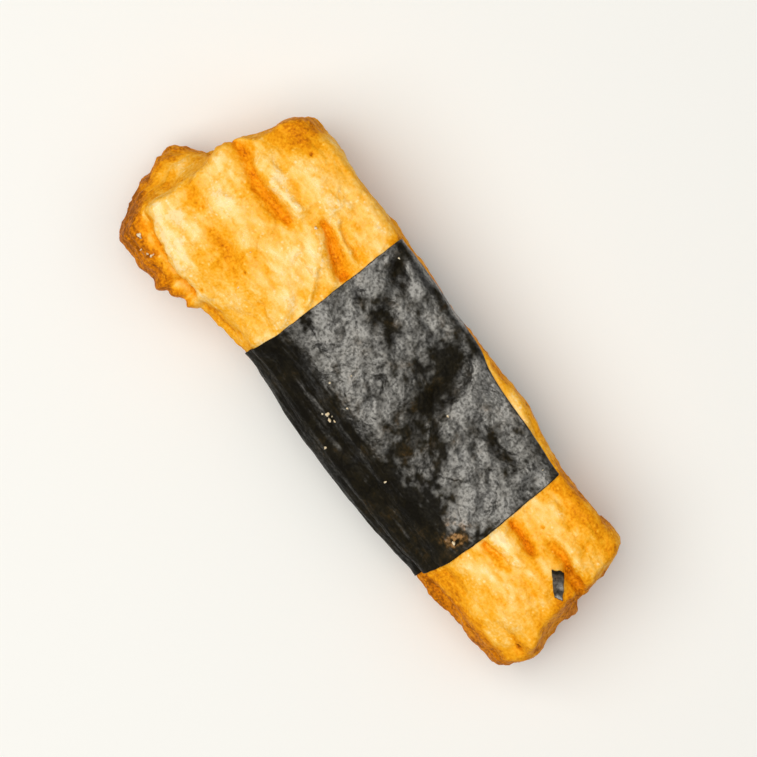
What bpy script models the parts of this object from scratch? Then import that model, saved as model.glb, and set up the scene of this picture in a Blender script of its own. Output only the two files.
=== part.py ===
"""A norimaki rice cracker: a fluted stick of puffed rice dough with both ends flared and browned,
and a strip of dried seaweed wrapped round its middle.

+X runs along the stick, from its wide end to its narrow end. The two ends of the wrap don't meet,
and the bare stripe between them faces +Y. +Z is up. The origin is on the ground, under the middle
of the stick's bounding box. Every size below is in millimetres.
"""

import math

import bpy
import numpy as np
from mathutils import Vector, noise

METRES_PER_MM = 0.001

# The stick's form, as sizes at places along X. The stick bulges where it was free to puff, at both
# ends, and is held in under the wrap.
PLUS_Y_SIDE = (
    (-21, 8.0), (-18, 8.1), (-13, 7.85), (-7, 7.55), (1, 7.0), (8, 6.75), (13, 5.95), (18, 5.9),
    (22, 6.2),
)
MINUS_Y_SIDE = (
    (-21, 9.1), (-18, 9.1), (-12.5, 7.4), (-8, 7.1), (1, 7.8), (8, 7.9), (14, 7.6), (19, 7.5),
    (22, 7.2),
)
TOP = (
    (-21, 10.5), (-17, 11.5), (-12, 11.3), (-7, 10.7), (2, 10.3), (10, 10.2), (15, 10.6), (19, 10.8),
    (22, 10.0),
)
UNDERSIDE = (
    (-21, 0.0), (-17, -0.4), (-12, 0.4), (-7, 0.8), (2, 0.9), (10, 0.7), (14, 0.3), (18, -0.4),
    (22, 0.1),
)
CREST_Y = ((-21, 1.0), (-10, 2.0), (8, 1.8), (22, 0.2))  # the line where the back is highest
MID_HEIGHT = 5.4
WAIST_SHARE = 0.47  # height of the widest line, as a share of the thickness

# How square the section is in each quarter: 2 is an ellipse, and more is boxier.
SQUARE_TOP_PLUS_Y, SQUARE_TOP_MINUS_Y = 9.0, 2.35
SQUARE_BOTTOM_PLUS_Y, SQUARE_BOTTOM_MINUS_Y = 2.8, 2.5

# The ends: where each is, at places along Y, and how it rounds over into the sides.
WIDE_END_X = (
    (-9, -21.3), (-5.7, -21.7), (-3.2, -21.3), (-1, -21.2), (1.4, -21.6), (4, -20.5), (6.4, -20.0),
    (8.3, -19.2),
)
NARROW_END_X = (
    (-7.5, 21.6), (-6.3, 22.4), (-4.6, 22.8), (-2.8, 21.9), (-0.5, 21.5), (1.5, 21.4), (3.5, 21.2),
    (6.5, 20.3),
)
WIDE_END_MEAN, NARROW_END_MEAN = -21.5, 21.8
END_LEAN = 0.03  # how far out an end comes, for each millimetre down
NARROW_END_SWELLING = ((-1.6, 4.4), 2.6, 0.7)  # its middle (y, z), radius and height
# The wide end's lower half breaks out past its top edge: how far, at places along Y, and the heights
# at which it starts, is full, begins to fall back and is gone.
WIDE_END_BULGE = (
    (-9.5, 0.2), (-7.7, 0.7), (-6.2, 1.3), (-4.2, 2.1), (-2.6, 2.75), (-1.5, 2.3), (-0.7, 1.6), (0.0, 0.5),
    (0.7, 0.05), (8, 0),
)
BULGE_HEIGHTS = (-0.5, 2.5, 4.5, 9.0)
END_REACH = 7.0  # how far from an end its slant still shows in the rings
END_ROUNDING = 1.2
END_SQUARENESS = 5.5
CAP_SHARES = (0.965, 0.9, 0.78, 0.62, 0.45, 0.29, 0.13)  # the cap's rings, as shares of the last section
END_ROUGHNESS = 0.8

# Flutes, left by the star-shaped die that the dough was pressed through.
FLUTES = 16
FLUTE_SHIFT = 0.42
FLUTE_DEPTH = 0.7
FLUTE_SHARPNESS = 0.75
FLUTE_DRIFT, FLUTE_DRIFT_SIZE = 0.3, 9.0  # how far a flute strays sideways, in flutes, and over what length
FLUTE_MEAN, FLUTE_UNEVEN, FLUTE_UNEVEN_SIZE = 0.62, 0.6, 8.0  # mean share of the depth, and its change
BACK_SOFTNESS = 0.75  # how much of their depth the flutes lose on the puffed back
BACK_SHARES = (0.03, 0.09, 0.42, 0.5)  # where round the section the back begins, is full, and ends

# Deeper creases on the back: the line from (x, y) to (x, y), the half width and the depth.
CREASES = (
    ((-20.9, 3.4), (-12.9, 1.5), 0.65, 0.75),
    ((-12.8, 4.1), (-8.0, 2.0), 0.6, 0.7),
    ((-20.8, -2.4), (-13.2, -3.8), 1.1, 0.4),
    ((-21.6, -6.0), (-16.8, -7.4), 0.6, 0.7),
    ((-16.8, -7.4), (-9.0, -7.2), 0.6, 0.6),
    ((13.0, 0.6), (17.6, -0.2), 0.5, 0.65),
    ((17.2, 2.0), (22.0, 0.6), 0.5, 0.65),
    ((13.0, -2.6), (16.8, -2.0), 0.45, 0.4),
)
CREASED_SHARES = (0.02, 0.48)  # where round the section the creases can be

PUFF, PUFF_SIZE = 0.25, 3.5  # how far the bare crust swells and sinks, and over what length

# The wrap. It starts high on the +Y side, goes over the back, and ends low on the +Y side. Round
# the section, places are shares of the way round, from the +Y side up over the back.
# Where its two ends along the stick are, at places along Y.
WRAP_FROM_X = ((-7.4, -8.5), (-6.1, -8.2), (-4.4, -7.9), (-2.5, -7.8), (1, -7.75), (7.7, -7.6))
WRAP_TO_X = ((-7.6, 12.7), (-6.1, 13.15), (-4.2, 13.4), (-2.3, 13.5), (1, 13.5), (5.8, 13.35))
WRAP_START = (
    (-9, 0.1), (-5, 0.094), (-2, 0.088), (0.4, 0.092), (2, 0.108), (3.5, 0.117), (5, 0.123), (7, 0.127),
    (9, 0.127), (11, 0.125), (14, 0.129),
)
WRAP_END = 0.945
WRAP_THICKNESS = 0.3
WRAP_GAP = 0.3
WRAP_FLUTE_SHARE = 0.45  # how much of a flute's depth the wrap sinks into
RECESS_MARGIN = 0.4  # how far the stick's seat for the wrap runs past the wrap
RECESS_RAMP = 0.8

AROUND, FINE_AROUND = 80, 720
EXPOSED_STEP, COVERED_STEP = 1.2, 2.6
WRAP_AROUND, WRAP_ALONG = 52, 12


def along(table, at):
    """A smooth curve through a table of (place, size)."""
    places, sizes = np.array(table, float).T
    slopes = np.gradient(sizes, places)
    i = np.clip(np.searchsorted(places, at) - 1, 0, len(places) - 2)
    step = places[i + 1] - places[i]
    f = np.clip((at - places[i]) / step, 0, 1)
    from_left = (1 + 2 * f) * (1 - f) ** 2 * sizes[i] + f * (1 - f) ** 2 * step * slopes[i]
    from_right = f * f * (3 - 2 * f) * sizes[i + 1] - f * f * (1 - f) * step * slopes[i + 1]
    return from_left + from_right


def smoothstep(low, high, value):
    f = np.clip((value - low) / (high - low), 0, 1)
    return f * f * (3 - 2 * f)


def wander(x, y, z, size):
    """Smooth noise from about -1 to 1 that changes over the given size."""
    return noise.noise(Vector((x, y, z)) / size)


def section(x, shares):
    """Points and outward normals, in Y and Z, at shares of the way round the smooth section at x."""
    turn = np.linspace(0, 2 * math.pi, FINE_AROUND + 1)
    cosine, sine = np.cos(turn), np.sin(turn)
    on_plus, on_top = cosine >= 0, sine >= 0
    square = np.where(
        on_top,
        np.where(on_plus, SQUARE_TOP_PLUS_Y, SQUARE_TOP_MINUS_Y),
        np.where(on_plus, SQUARE_BOTTOM_PLUS_Y, SQUARE_BOTTOM_MINUS_Y),
    )
    top, bottom, crest = along(TOP, x), along(UNDERSIDE, x), along(CREST_Y, x)
    waist = bottom + WAIST_SHARE * (top - bottom)
    reach = np.where(on_plus, along(PLUS_Y_SIDE, x) - crest, along(MINUS_Y_SIDE, x) + crest)
    rise = np.where(on_top, top - waist, waist - bottom)
    y = crest + reach * np.sign(cosine) * np.abs(cosine) ** (2 / square)
    z = waist + rise * np.sign(sine) * np.abs(sine) ** (2 / square)
    steps = np.hypot(np.diff(y), np.diff(z))
    gone = np.concatenate([[0], np.cumsum(steps)])
    gone /= gone[-1]
    shares = np.mod(shares, 1.0)
    nudge = 0.004  # a step along the section that gives its direction
    ahead, behind = np.mod(shares + nudge, 1.0), np.mod(shares - nudge, 1.0)
    dy = np.interp(ahead, gone, y) - np.interp(behind, gone, y)
    dz = np.interp(ahead, gone, z) - np.interp(behind, gone, z)
    size = np.hypot(dy, dz)
    return np.interp(shares, gone, y), np.interp(shares, gone, z), dz / size, -dy / size


def flute_depth(x, share):
    """How far the flutes cut in at a share of the way round. Each flute's depth wanders along it."""
    phase = share * FLUTES + FLUTE_SHIFT + FLUTE_DRIFT * wander(x, 7.0 * share, 3.1, FLUTE_DRIFT_SIZE)
    groove = round(phase) % FLUTES
    crest = abs(math.sin(math.pi * phase)) ** FLUTE_SHARPNESS
    depth = FLUTE_DEPTH * (FLUTE_MEAN + FLUTE_UNEVEN * wander(x, 5.3 * groove, 8.7, FLUTE_UNEVEN_SIZE))
    begins, full, falls, ends = BACK_SHARES
    back = float(smoothstep(begins, full, share) * (1 - smoothstep(falls, ends, share)))
    return depth * (1 - crest) * (1 - BACK_SOFTNESS * back)


def crease_depth(x, y, share):
    """How far the creases cut into the back."""
    if not CREASED_SHARES[0] < share < CREASED_SHARES[1]:
        return 0.0
    found = 0.0
    for (x0, y0), (x1, y1), half_width, depth in CREASES:
        way = ((x - x0) * (x1 - x0) + (y - y0) * (y1 - y0)) / ((x1 - x0) ** 2 + (y1 - y0) ** 2)
        way = min(max(way, 0.0), 1.0)
        off = math.hypot(x - x0 - way * (x1 - x0), y - y0 - way * (y1 - y0)) / half_width
        found = max(found, depth * math.exp(-off * off))
    return found


def wrap_edges(y):
    """Where the wrap begins and ends in X, at a given Y."""
    return float(along(WRAP_FROM_X, y)), float(along(WRAP_TO_X, y))


def wrap_start(x):
    """The share of the way round at which the wrap starts, at x."""
    return float(along(WRAP_START, x))


def seat_share(x, y, share, girth):
    """How much of its full depth the seat for the wrap has: 1 under the wrap and 0 clear of it."""
    first, last = wrap_edges(y)
    outside = max(first - x, x - last)
    sideways = max(wrap_start(x) - share, share - WRAP_END) * girth
    past = max(outside, sideways) - RECESS_MARGIN
    return 1.0 - float(smoothstep(0.0, RECESS_RAMP, past))


def girth_at(x):
    y, z, _, _ = section(x, np.linspace(0, 1, AROUND + 1))
    return float(np.hypot(np.diff(y), np.diff(z)).sum())


def stick_ring(x):
    """One ring of the stick's side: AROUND points, fluted, creased and seated for the wrap."""
    shares = np.arange(AROUND) / AROUND
    ys, zs, out_y, out_z = section(x, shares)
    girth = girth_at(x)
    ring = []
    for share, y, z, ny, nz in zip(shares, ys, zs, out_y, out_z):
        seat = seat_share(x, y, share, girth)
        bare = 1 - seat
        depth = flute_depth(x, share) + bare * crease_depth(x, y, share)
        depth += seat * (WRAP_THICKNESS + WRAP_GAP)
        depth -= bare * PUFF * wander(x, y, z, PUFF_SIZE)
        ring.append((x, y - depth * ny, z - depth * nz))
    return np.array(ring)


def ring_places():
    """X of each ring, closer together where the stick is bare."""
    left, right = WIDE_END_MEAN + END_ROUNDING, NARROW_END_MEAN - END_ROUNDING
    seat_from = min(x for _, x in WRAP_FROM_X) - RECESS_MARGIN - RECESS_RAMP
    seat_to = max(x for _, x in WRAP_TO_X) + RECESS_MARGIN + RECESS_RAMP
    runs = (
        (left, seat_from, EXPOSED_STEP),
        (seat_from, seat_from + 2, 0.5),
        (seat_from + 2, seat_to - 2, COVERED_STEP),
        (seat_to - 2, seat_to, 0.5),
        (seat_to, right, EXPOSED_STEP),
    )
    places = [left]
    for start, stop, step in runs:
        count = max(1, round((stop - start) / step))
        places += [start + (stop - start) * (k + 1) / count for k in range(count)]
    return places


def swelling(y, z, middle, radius, height):
    """The height of a soft bulge at a place on an end's face."""
    off = np.hypot(y - middle[0], z - middle[1]) / radius
    return height * np.exp(-off * off)


def bulge(y, z):
    """How far the wide end's lower half sticks out past its top edge."""
    begins, full, falls, ends = BULGE_HEIGHTS
    return along(WIDE_END_BULGE, y) * smoothstep(begins, full, z) * (1 - smoothstep(falls, ends, z))


def wide_end_at(y, z):
    """X of the wide end's face."""
    return along(WIDE_END_X, y) - END_LEAN * (MID_HEIGHT - z) - bulge(y, z)


def narrow_end_at(y, z):
    """X of the narrow end's face."""
    return along(NARROW_END_X, y) + END_LEAN * (MID_HEIGHT - z) + swelling(y, z, *NARROW_END_SWELLING)


def slanted(ring):
    """The ring, moved in X as far as the nearer end slants there."""
    x, y, z = ring.T
    moved = ring.copy()
    by_wide_end = 1 - smoothstep(0, END_REACH, x - WIDE_END_MEAN - END_ROUNDING)
    moved[:, 0] += by_wide_end * (wide_end_at(y, z) - WIDE_END_MEAN)
    by_narrow_end = 1 - smoothstep(0, END_REACH, NARROW_END_MEAN - END_ROUNDING - x)
    moved[:, 0] += by_narrow_end * (narrow_end_at(y, z) - NARROW_END_MEAN)
    return moved


def cap_rings(last, end_at, outward):
    """The rings that close an end, then its middle point. Outward is -1 at the wide end, else 1."""
    middle = last.mean(axis=0)
    rings = []
    for share in (*CAP_SHARES, 0.0):
        ring = middle + share * (last - middle)
        inset = END_ROUNDING * (1 - (1 - share**END_SQUARENESS) ** (1 / END_SQUARENESS))
        ring[:, 0] = end_at(ring[:, 1], ring[:, 2]) - outward * inset
        for point in ring:
            point[0] += END_ROUGHNESS * (1 - share**2) * wander(*point, 3.0)
        rings.append(ring)
    return rings[:-1], rings[-1][0]


def stick_surface():
    """Vertices and faces of the whole stick."""
    body = [slanted(stick_ring(x)) for x in ring_places()]
    wide_cap, wide_middle = cap_rings(body[0], wide_end_at, -1)
    narrow_cap, narrow_middle = cap_rings(body[-1], narrow_end_at, 1)
    rings = [*reversed(wide_cap), *body, *narrow_cap]
    points = [tuple(p) for ring in rings for p in ring]
    points += [tuple(wide_middle), tuple(narrow_middle)]
    faces = []
    for i in range(len(rings) - 1):
        for k in range(AROUND):
            k2 = (k + 1) % AROUND
            faces.append((i * AROUND + k, i * AROUND + k2, (i + 1) * AROUND + k2, (i + 1) * AROUND + k))
    first_middle, last_row = len(points) - 2, (len(rings) - 1) * AROUND
    for k in range(AROUND):
        k2 = (k + 1) % AROUND
        faces.append((first_middle, k2, k))
        faces.append((first_middle + 1, last_row + k, last_row + k2))
    return np.array(points), faces


def wrap_point(x, share, sunk):
    """A point of the wrap: on the smooth section, sunk a little into the flutes."""
    y, z, ny, nz = (float(v[0]) for v in section(x, np.array([share])))
    depth = WRAP_FLUTE_SHARE * flute_depth(x, share) + sunk
    return x, y - depth * ny, z - depth * nz


def wrap_surface():
    """Vertices and faces of the wrap, a sheet bent round the stick."""
    layers = []
    middle_first, middle_last = wrap_edges(0.0)
    for sunk in (0.0, WRAP_THICKNESS):
        rows = []
        for i in range(WRAP_AROUND + 1):
            row = []
            for k in range(WRAP_ALONG + 1):
                way = k / WRAP_ALONG
                x = middle_first + (middle_last - middle_first) * way
                start = wrap_start(x)
                share = start + (WRAP_END - start) * i / WRAP_AROUND
                first, last = wrap_edges(float(section(x, np.array([share]))[0][0]))
                row.append(wrap_point(first + (last - first) * way, share, sunk))
            rows.append(row)
        layers.append(rows)
    points = [p for rows in layers for row in rows for p in row]
    wide = WRAP_ALONG + 1
    inner = wide * (WRAP_AROUND + 1)
    faces = []
    for i in range(WRAP_AROUND):
        for k in range(WRAP_ALONG):
            a, b = i * wide + k, (i + 1) * wide + k
            faces.append((a, b, b + 1, a + 1))
            faces.append((inner + a, inner + a + 1, inner + b + 1, inner + b))
    for k in range(WRAP_ALONG):
        last = WRAP_AROUND * wide
        faces.append((k, k + 1, inner + k + 1, inner + k))
        faces.append((last + k, inner + last + k, inner + last + k + 1, last + k + 1))
    for i in range(WRAP_AROUND):
        a, b = i * wide, (i + 1) * wide
        faces.append((a, inner + a, inner + b, b))
        a, b = a + WRAP_ALONG, b + WRAP_ALONG
        faces.append((a, b, inner + b, inner + a))
    return np.array(points), faces


def material(name, colour, roughness):
    made = bpy.data.materials.new(name)
    made.use_nodes = True
    shader = made.node_tree.nodes["Principled BSDF"]
    shader.inputs["Base Color"].default_value = (*colour, 1.0)
    shader.inputs["Roughness"].default_value = roughness
    shader.inputs["Metallic"].default_value = 0.0
    return made


def solid(name, points, faces, finish):
    """A mesh object from points in millimetres."""
    mesh = bpy.data.meshes.new(name)
    mesh.from_pydata((points * METRES_PER_MM).tolist(), [], faces)
    mesh.shade_smooth()
    mesh.set_sharp_from_angle(angle=math.radians(50))
    mesh.materials.append(finish)
    made = bpy.data.objects.new(name, mesh)
    bpy.context.scene.collection.objects.link(made)
    return made


def main():
    for old in list(bpy.data.objects):
        bpy.data.objects.remove(old)
    stick, stick_faces = stick_surface()
    wrap, wrap_faces = wrap_surface()
    stick[:, 2] = np.maximum(stick[:, 2], 0.0)  # the feet that it lies on are pressed flat
    middle = (stick.min(axis=0) + stick.max(axis=0)) / 2
    middle[2] = 0.0
    crust = material("crust", (0.83, 0.45, 0.10), 0.5)
    seaweed = material("seaweed", (0.02, 0.022, 0.016), 0.45)
    solid("cracker", stick - middle, stick_faces, crust)
    solid("nori", wrap - middle, wrap_faces, seaweed)


main()
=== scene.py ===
import math

import bpy
import numpy as np
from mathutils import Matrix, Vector, noise
from mathutils.bvhtree import BVHTree


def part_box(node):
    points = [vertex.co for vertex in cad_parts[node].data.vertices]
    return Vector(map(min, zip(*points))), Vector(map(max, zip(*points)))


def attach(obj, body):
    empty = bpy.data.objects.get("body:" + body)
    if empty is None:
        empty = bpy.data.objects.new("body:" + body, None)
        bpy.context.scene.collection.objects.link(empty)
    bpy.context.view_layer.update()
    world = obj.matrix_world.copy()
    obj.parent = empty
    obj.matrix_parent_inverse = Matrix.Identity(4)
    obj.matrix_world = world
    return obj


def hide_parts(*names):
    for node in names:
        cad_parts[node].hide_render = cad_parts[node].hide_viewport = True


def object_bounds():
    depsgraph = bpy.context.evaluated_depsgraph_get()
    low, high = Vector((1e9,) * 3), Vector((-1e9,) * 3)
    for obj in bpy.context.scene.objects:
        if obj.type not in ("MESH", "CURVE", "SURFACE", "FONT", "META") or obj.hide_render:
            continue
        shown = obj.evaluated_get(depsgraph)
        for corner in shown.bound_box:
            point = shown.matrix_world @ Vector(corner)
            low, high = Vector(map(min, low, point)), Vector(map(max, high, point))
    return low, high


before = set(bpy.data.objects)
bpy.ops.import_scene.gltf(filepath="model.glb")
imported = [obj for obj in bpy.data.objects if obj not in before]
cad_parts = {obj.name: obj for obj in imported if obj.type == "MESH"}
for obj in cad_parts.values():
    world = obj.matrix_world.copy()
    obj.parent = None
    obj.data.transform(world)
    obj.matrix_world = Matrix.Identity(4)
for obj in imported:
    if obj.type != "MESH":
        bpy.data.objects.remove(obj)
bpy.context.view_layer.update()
mm = 0.001
noiseSpread = (0.3, 0.7)  # nearly all of a noise texture lies between these
noiseCore = (0.35, 0.65)
hillStep, cellStep = 7.31, 5.77  # how far apart in the noise two seeds lie
print("frame loaded")


# Small tools. Points are in millimetres until a mesh is made.

def along(table, at):
    # a smooth curve through (place, size) pairs
    places, sizes = np.array(table, float).T
    slopes = np.gradient(sizes, places)
    i = np.clip(np.searchsorted(places, at) - 1, 0, len(places) - 2)
    step = places[i + 1] - places[i]
    f = np.clip((at - places[i]) / step, 0, 1)
    fromLeft = (1 + 2 * f) * (1 - f) ** 2 * sizes[i] + f * (1 - f) ** 2 * step * slopes[i]
    fromRight = f * f * (3 - 2 * f) * sizes[i + 1] - f * f * (1 - f) * step * slopes[i + 1]
    return fromLeft + fromRight


def ease(low, high, value):
    # 0 at low, 1 at high, and a soft step between: low may be the greater
    f = np.clip((value - low) / (high - low), 0, 1)
    return f * f * (3 - 2 * f)


def between(begins, full, falls, ends, value):
    # 1 from full to falls, and 0 outside begins and ends
    return ease(begins, full, value) * ease(ends, falls, value)


def rising(row, value):
    # a strength that grows in between two places
    strength, begins, full = row
    return strength * ease(begins, full, value)


def turned(points, degrees):
    # the same points seen with X turned about Z
    a = math.radians(degrees)
    x, y, z = np.moveaxis(points, -1, 0)
    return np.stack([x * math.cos(a) + y * math.sin(a), y * math.cos(a) - x * math.sin(a), z], -1)


def hills(points, size, seed=0, layers=1, stretch=(1, 1, 1)):
    # soft hills and hollows about one size across, from about -1 to 1
    places = points / (size * np.array(stretch)) + seed * hillStep
    found = [noise.fractal(p, 1.0, 2.0, layers) for p in places.reshape(-1, 3).tolist()]
    return np.array(found).reshape(points.shape[:-1])


def hilly(points, rows):
    # several sorts of hills together: each row is a height, then size, seed, layers and stretch
    return sum(height * hills(points, *how) for height, *how in rows)


def patchy(points, how, run):
    # from 0 to 1 as the hills rise through the run
    return ease(*run, hills(points, *how))



def cells(points, size, seed):
    # how far each point is from the nearest of points scattered about a size apart
    places = points / size + seed * cellStep
    found = [noise.voronoi(p)[0][0] for p in places.reshape(-1, 3).tolist()]
    return np.array(found).reshape(points.shape[:-1])


def nearLine(x, y, path):
    # signed distance from a bent line, plus on its left, then how far along it and its whole length
    best = np.full(np.shape(x), 1e9)
    signed, gone = np.zeros(np.shape(x)), np.zeros(np.shape(x))
    length = 0.0
    for (x0, y0), (x1, y1) in zip(path, path[1:]):
        dx, dy = x1 - x0, y1 - y0
        run = math.hypot(dx, dy)
        way = np.clip(((x - x0) * dx + (y - y0) * dy) / run**2, 0, 1)
        offX, offY = x - x0 - way * dx, y - y0 - way * dy
        off = np.hypot(offX, offY)
        nearer = off < best
        signed = np.where(nearer, np.copysign(off, dx * offY - dy * offX), signed)
        gone = np.where(nearer, length + way * run, gone)
        best = np.minimum(off, best)
        length += run
    return signed, gone, length


def blotch(x, y, middle, reach, turn=0, crisp=1):
    # 1 in the middle of an oval patch, falling to 0 outside it
    a = math.radians(turn)
    dx, dy = x - middle[0], y - middle[1]
    u = (dx * math.cos(a) + dy * math.sin(a)) / reach[0]
    v = (dy * math.cos(a) - dx * math.sin(a)) / reach[1]
    return np.exp(-((u * u + v * v) ** crisp))


def blotches(x, y, rows):
    # many patches together: each row is a strength, then middle, reach, turn and crispness
    return sum(strength * blotch(x, y, *where) for strength, *where in rows)


def gridNormals(points, closed):
    # outward directions of a grid whose rows run along X and whose columns go round
    around = np.roll(points, -1, 1) - np.roll(points, 1, 1) if closed else np.gradient(points, axis=1)
    out = np.cross(around, np.gradient(points, axis=0))
    return out / np.maximum(np.linalg.norm(out, axis=2, keepdims=True), 1e-9)


def gridFaces(rows, columns, closed, start=0, flip=False):
    i, k = np.meshgrid(np.arange(rows - 1), np.arange(columns if closed else columns - 1), indexing="ij")
    k2 = (k + 1) % columns
    corners = [i * columns + k, i * columns + k2, (i + 1) * columns + k2, (i + 1) * columns + k]
    if flip:
        corners.reverse()
    return (np.stack(corners, axis=-1).reshape(-1, 4) + start).tolist()


def addObject(name, data):
    made = bpy.data.objects.new(name, data)
    bpy.context.scene.collection.objects.link(made)
    return made


def addMesh(name, points, faces, material, marks=None):
    # a piece from points in millimetres, with a value at each point for each named mark
    mesh = bpy.data.meshes.new(name)
    mesh.from_pydata((np.asarray(points) * mm).tolist(), [], faces)
    mesh.shade_smooth()
    mesh.materials.append(material)
    for mark, values in (marks or {}).items():
        layer = mesh.attributes.new(mark, "FLOAT", "POINT")
        layer.data.foreach_set("value", np.asarray(values, np.float32).ravel())
    return addObject(name, mesh)


def linear(colour):
    # 0 to 255 screen colour to the 0 to 1 values that nodes take
    c = np.array(colour) / 255
    return (*np.where(c < 0.04045, c / 12.92, ((c + 0.055) / 1.055) ** 2.4).tolist(), 1.0)


def fill(node, inputs):
    # plain values go on the node's own sockets, and the rest are linked
    for key, value in inputs.items():
        if isinstance(value, bpy.types.NodeSocket):
            node.id_data.links.new(value, node.inputs[key])
        else:
            node.inputs[key].default_value = value


def addNode(tree, kind, inputs, **settings):
    node = tree.nodes.new("ShaderNode" + kind)
    for key, value in settings.items():
        setattr(node, key, value)
    fill(node, inputs)
    return node


def addMath(tree, what, a, b=0.0, c=0.0):
    return addNode(tree, "Math", {0: a, 1: b, 2: c}, operation=what).outputs[0]


def addRange(tree, value, fromLow, fromHigh, low, high):
    spread = {"Value": value, "From Min": fromLow, "From Max": fromHigh, "To Min": low, "To Max": high}
    return addNode(tree, "MapRange", spread).outputs["Result"]


def addNoise(tree, place, scale, detail):
    return addNode(tree, "TexNoise", {"Vector": place, "Scale": scale, "Detail": detail}).outputs["Fac"]


def addCells(tree, place, scale):
    return addNode(tree, "TexVoronoi", {"Vector": place, "Scale": scale}).outputs["Distance"]


def addRamp(tree, factor, stops):
    node = addNode(tree, "ValToRGB", {"Fac": factor})
    steps = node.color_ramp.elements
    steps.remove(steps[1])
    steps[0].position = stops[0][0]
    steps[0].color = linear(stops[0][1])
    for place, colour in stops[1:]:
        steps.new(place).color = linear(colour)
    return node.outputs["Color"]


def startMaterial(name):
    made = bpy.data.materials.new(name)
    made.use_nodes = True
    tree = made.node_tree
    place = addNode(tree, "TexCoord", {}).outputs["Object"]
    place = addNode(tree, "VectorMath", {0: place, "Scale": 1 / mm}, operation="SCALE").outputs[0]
    return made, tree, tree.nodes["Principled BSDF"], place


def readMark(tree, name):
    return addNode(tree, "Attribute", {}, attribute_name=name, attribute_type="GEOMETRY").outputs["Fac"]


def addGrain(tree, first, second, look):
    # relief from two textures that is too fine for the mesh
    firstShare, secondShare = look["grainShares"]
    height = addMath(tree, "MULTIPLY_ADD", first, firstShare, addMath(tree, "MULTIPLY", second, secondShare))
    settings = {"Height": height, "Strength": look["grain"], "Distance": look["grainHeight"] * mm}
    return addNode(tree, "Bump", settings).outputs["Normal"]


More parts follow.
